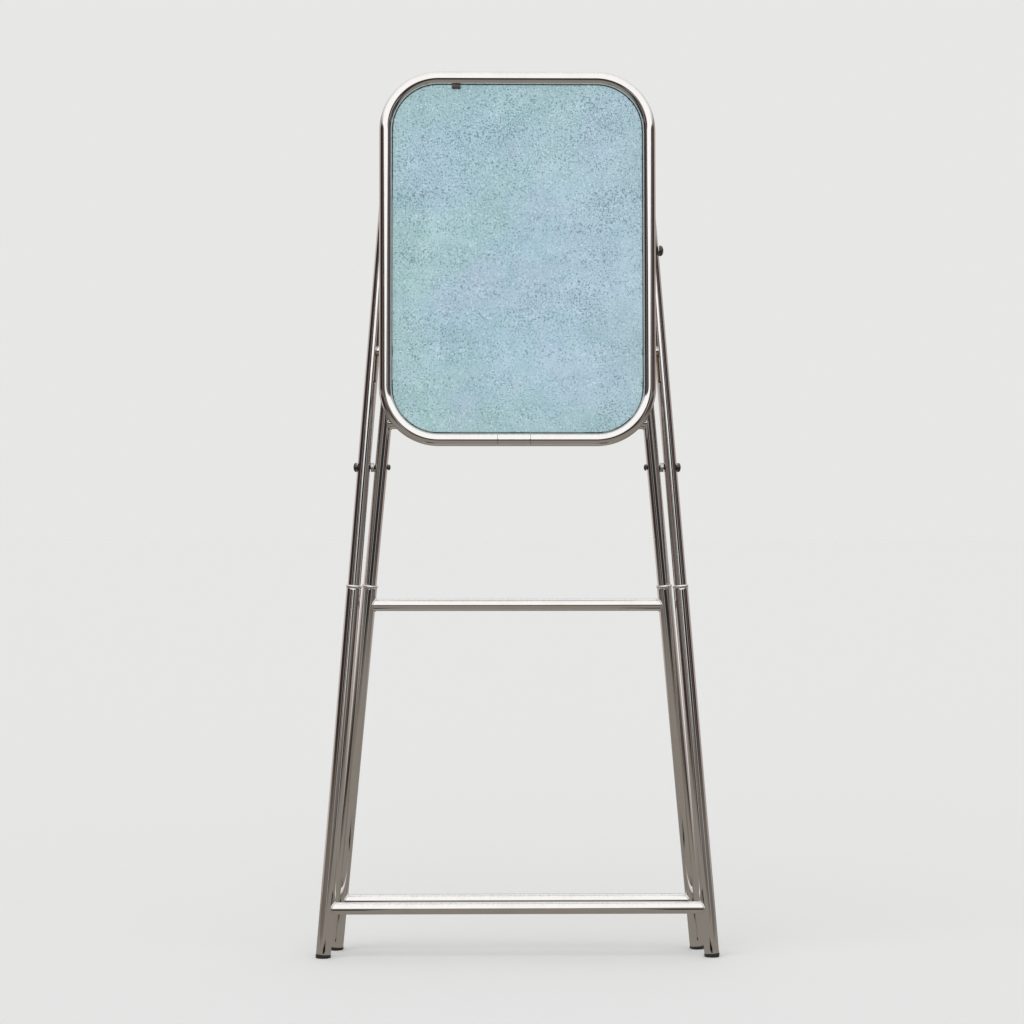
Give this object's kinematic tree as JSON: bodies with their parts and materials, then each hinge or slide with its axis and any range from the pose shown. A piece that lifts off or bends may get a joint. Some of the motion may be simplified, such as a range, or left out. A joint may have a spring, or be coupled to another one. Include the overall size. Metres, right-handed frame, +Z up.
{
  "type": "trouser press",
  "caption": "Free-standing trouser press: a speckled front board in a tube ring hinges before a rear board on a folding chromed tube stand.",
  "frame": {"origin": "on the floor under the middle of the stand, midway between the front and rear feet", "axes": "+Z up, +X to the right of a person facing the boards, +Y away from them; the front board faces -Y"},
  "size_m": [0.48, 0.0782, 1.055],
  "materials": {
    "chrome": "bright chrome plate on steel tube, lightly worn",
    "zinc_steel": "dull zinc plate",
    "dark_steel": "blackened steel, satin",
    "speckled_board": "light blue board with fine dark specks, satin",
    "fibre_board": "brown pressed fibre board, matt",
    "black_plastic": "moulded, satin",
    "knob_plastic": "polished dark brown",
    "rubber": "matt"
  },
  "bodies": {
    "front_frame": {"upper_hoop": "chrome", "front_foot_bar": "chrome", "lower_rail": "chrome", "upper_rail": "chrome", "rear_board": "fibre_board", "front_leg_left": "chrome", "front_leg_right": "chrome", "front_foot_left": "black_plastic", "front_foot_right": "black_plastic", "pivot_bolt_left": "dark_steel", "pivot_bolt_right": "dark_steel", "pivot_spacer_left": "zinc_steel", "pivot_spacer_right": "zinc_steel", "pivot_nut_left": "dark_steel", "pivot_nut_right": "dark_steel", "board_screw_1": "zinc_steel", "board_screw_2": "zinc_steel", "board_screw_3": "zinc_steel", "board_screw_4": "zinc_steel", "board_buffer_left": "rubber", "board_buffer_right": "rubber"},
    "rear_frame": {"hinge_bar": "chrome", "middle_bar": "chrome", "rear_foot_bar": "chrome", "rear_leg_left": "chrome", "rear_leg_right": "chrome", "rear_upper_leg_left": "chrome", "rear_upper_leg_right": "chrome", "rear_leg_cap_left": "black_plastic", "rear_leg_cap_right": "black_plastic", "rear_foot_left": "black_plastic", "rear_foot_right": "black_plastic"},
    "front_board": {"board_ring": "chrome", "ring_joiner": "chrome", "board_panel": "speckled_board", "catch_keeper": "zinc_steel", "panel_clip_top": "zinc_steel", "panel_clip_bottom": "zinc_steel", "panel_clip_left": "zinc_steel", "panel_clip_right": "zinc_steel", "panel_clip_front": "zinc_steel", "hinge_saddle_left": "black_plastic", "hinge_saddle_right": "black_plastic", "hinge_strap_left": "zinc_steel", "hinge_strap_right": "zinc_steel", "hinge_screw_upper_left": "zinc_steel", "hinge_screw_upper_right": "zinc_steel", "hinge_screw_lower_left": "zinc_steel", "hinge_screw_lower_right": "zinc_steel"},
    "catch": {"catch_knob": "knob_plastic", "catch_spindle": "zinc_steel", "catch_hook": "zinc_steel"}
  },
  "joints": [
    {"name": "leg_fold", "type": "hinge", "parent": "front_frame", "child": "rear_frame", "pos_m": [0, 0, 0.582], "axis": [1, 0, 0], "range_deg": [0, 34]},
    {"name": "board_swing", "type": "hinge", "parent": "rear_frame", "child": "front_board", "pos_m": [0, -0.00273, 0.635], "axis": [1, 0, 0], "range_deg": [0, 38]},
    {"name": "catch_turn", "type": "hinge", "parent": "front_frame", "child": "catch", "pos_m": [0.16249, 0.01345, 0.843], "axis": [1, 0, 0], "range_deg": [0, 66]}
  ]
}
